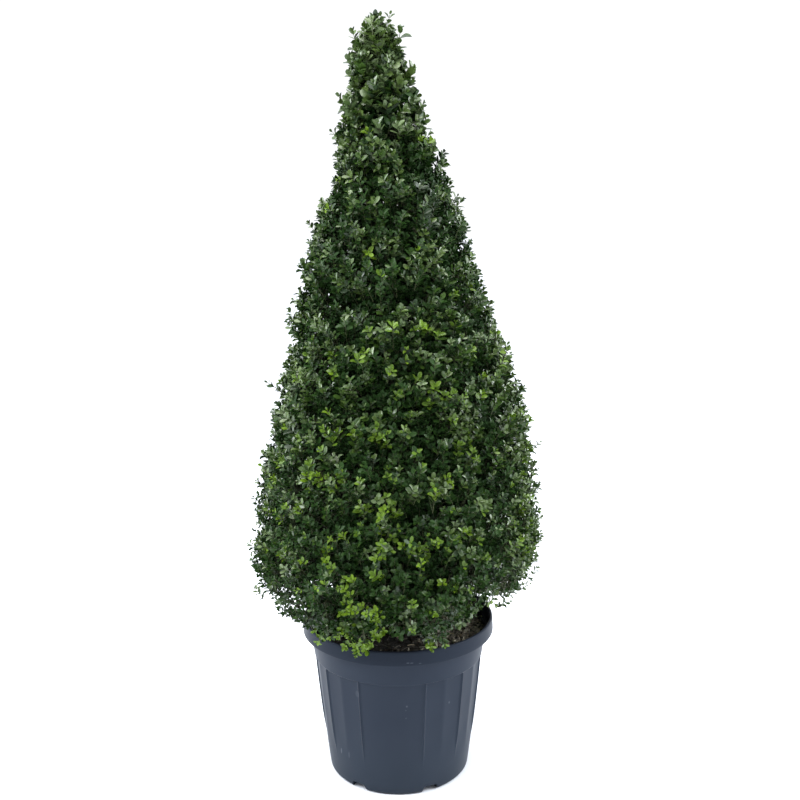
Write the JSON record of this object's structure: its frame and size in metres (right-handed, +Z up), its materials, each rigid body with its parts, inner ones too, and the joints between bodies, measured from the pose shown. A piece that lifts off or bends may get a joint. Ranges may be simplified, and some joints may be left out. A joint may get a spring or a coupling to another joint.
{
  "type": "boxwood cone topiary",
  "caption": "Small-leaved evergreen shrub clipped to a tall, slightly leaning cone, growing in a round ribbed nursery container with drain notches in its foot.",
  "frame": {"origin": "centre of the container's flat underside, where it stands on the ground", "axes": "+Z up, along the trunk; -Y is the side towards the viewer in the picture; +X is to the viewer's right"},
  "size_m": [0.7023, 0.6998, 1.865],
  "materials": {
    "pot": "semi-gloss moulded plastic, dark slate grey, dusty and lightly scuffed",
    "soil": "moist crumbly compost with dry leaf litter",
    "bark": "pale grey-brown, finely ridged bark",
    "foliage": "glossy small evergreen leaves"
  },
  "bodies": {
    "root": {"pot": "pot", "soil": "soil", "trunk": "bark", "foliage_skirt_back": "foliage", "foliage_skirt_left": "foliage", "foliage_skirt_front_left": "foliage", "foliage_skirt_front": "foliage", "foliage_skirt_right": "foliage", "foliage_lower_back_right": "foliage", "foliage_lower_back_left": "foliage", "foliage_lower_front_left": "foliage", "foliage_lower_front_right": "foliage", "foliage_middle_back": "foliage", "foliage_middle_left": "foliage", "foliage_middle_right": "foliage", "foliage_upper_left": "foliage", "foliage_upper_right": "foliage", "foliage_tip": "foliage", "bough_back": "bark", "bough_left": "bark", "bough_front_left": "bark", "bough_front": "bark", "bough_right": "bark", "bough_high_back_right": "bark", "bough_high_back_left": "bark", "bough_high_front_left": "bark", "bough_high_front_right": "bark"}
  },
  "joints": []
}
